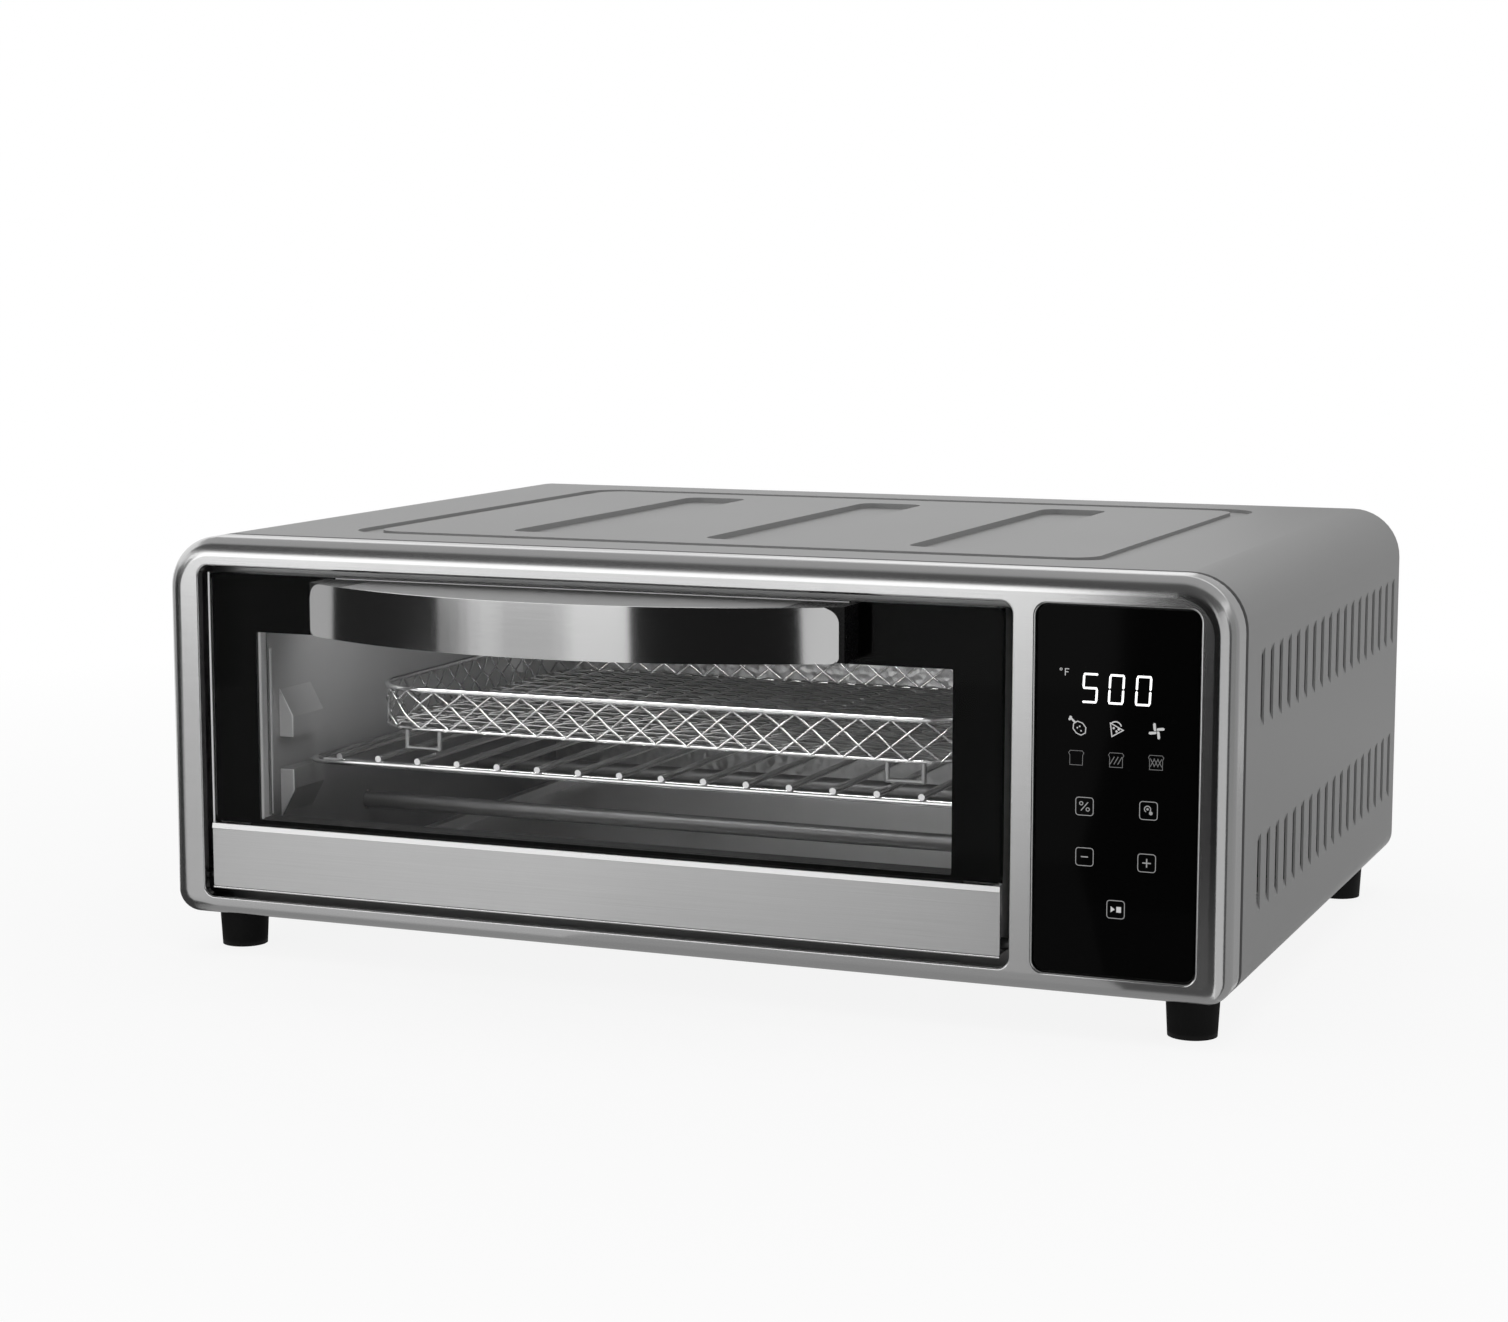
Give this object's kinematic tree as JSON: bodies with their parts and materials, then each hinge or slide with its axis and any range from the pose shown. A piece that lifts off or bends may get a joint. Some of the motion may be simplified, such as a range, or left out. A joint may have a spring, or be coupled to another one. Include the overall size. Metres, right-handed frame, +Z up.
{
  "type": "toaster oven",
  "caption": "Low countertop toaster oven with a drop-down glass door, bowed steel handle, touch control panel, louvred sides, wire rack, mesh basket and slide-out crumb tray.",
  "frame": {"origin": "centre of the bounding box, at the level of the feet's undersides", "axes": "+Z up, the door faces -Y, +X to the right as seen from the front, along the oven's width"},
  "size_m": [0.5, 0.412, 0.1945],
  "materials": {
    "frame_steel": "brushed",
    "wrap_finish": "satin silver grey",
    "zinc_steel": "zinc plated",
    "oven_steel": "plain",
    "bright_wire": "plated",
    "bright_hardware": "plated",
    "heater_sheath": "dark oxide",
    "ceramic": "unglazed ceramic",
    "fan_aluminium": "plain",
    "cooling_plastic": "matte",
    "motor_case": "satin",
    "door_pane": "clear with a black printed border",
    "soft_black": "matte",
    "door_satin": "satin",
    "handle_black": "satin",
    "handle_satin": "satin",
    "panel_gloss": "gloss",
    "panel_plastic": "matte",
    "circuit_board": "lacquered"
  },
  "bodies": {
    "case": {"base_plate": "zinc_steel", "board_spacers": "panel_plastic", "cavity_back_panel": "oven_steel", "cavity_ceiling": "oven_steel", "cavity_flange": "oven_steel", "cavity_floor_panel": "oven_steel", "cavity_left_wall": "oven_steel", "cavity_right_wall": "oven_steel", "cavity_stands": "zinc_steel", "control_board": "circuit_board", "control_panel_glass": "panel_gloss", "cord_gland": "soft_black", "display_module": "panel_plastic", "fan_guard": "oven_steel", "fan_housing": "zinc_steel", "fan_motor": "motor_case", "foot_front_left": "soft_black", "foot_front_right": "soft_black", "foot_rear_left": "soft_black", "foot_rear_right": "soft_black", "foot_screws": "bright_hardware", "front_frame": "frame_steel", "heater_holders": "ceramic", "heater_lower_front": "heater_sheath", "heater_lower_rear": "heater_sheath", "heater_upper_front": "heater_sheath", "heater_upper_rear": "heater_sheath", "hinge_bracket_left": "zinc_steel", "hinge_bracket_right": "zinc_steel", "hinge_pin_left": "bright_hardware", "hinge_pin_right": "bright_hardware", "motor_plate": "zinc_steel", "motor_screws": "bright_hardware", "panel_backing": "panel_plastic", "power_board": "circuit_board", "power_board_spacers": "panel_plastic", "rear_brackets": "zinc_steel", "rear_cover": "zinc_steel", "rear_cover_screws": "bright_hardware", "temperature_probe": "bright_hardware", "thermal_cutout": "bright_hardware", "wrap_cover": "wrap_finish"},
    "door": {"door_glass": "door_pane", "glass_gasket": "soft_black", "door_inner_pan": "door_satin", "door_strip": "frame_steel", "handle_strap": "frame_steel", "handle_core": "handle_black", "handle_roof": "handle_satin", "handle_screws": "bright_hardware"},
    "rack": {"wire_rack": "bright_wire"},
    "basket": {"basket_floor": "bright_wire", "basket_walls": "bright_wire", "basket_rim": "bright_wire", "basket_feet": "bright_wire"},
    "tray": {"crumb_tray": "oven_steel"},
    "fan": {"convection_fan": "fan_aluminium", "motor_shaft": "bright_hardware", "cooling_fan": "cooling_plastic"}
  },
  "joints": [
    {"name": "door_hinge", "type": "hinge", "parent": "case", "child": "door", "pos_m": [0, -0.147, 0.0366], "axis": [1, 0, 0], "range_deg": [0, 75]},
    {"name": "rack_slide", "type": "slide", "parent": "case", "child": "rack", "axis": [0, -1, 0], "range_m": [0, 0.106]},
    {"name": "basket_lift", "type": "slide", "parent": "rack", "child": "basket", "axis": [0, 0, 1], "range_m": [0, 0.025]},
    {"name": "tray_slide", "type": "slide", "parent": "case", "child": "tray", "axis": [0, 1, 0], "range_m": [0, 0.26]},
    {"name": "fan_spin", "type": "hinge", "parent": "case", "child": "fan", "pos_m": [0.1373, 0.017, 0.112], "axis": [1, 0, 0], "continuous": true}
  ],
  "couplings": [
    {"joint": "rack_slide", "follows": "door_hinge", "m_per_rad": 0.08}
  ]
}
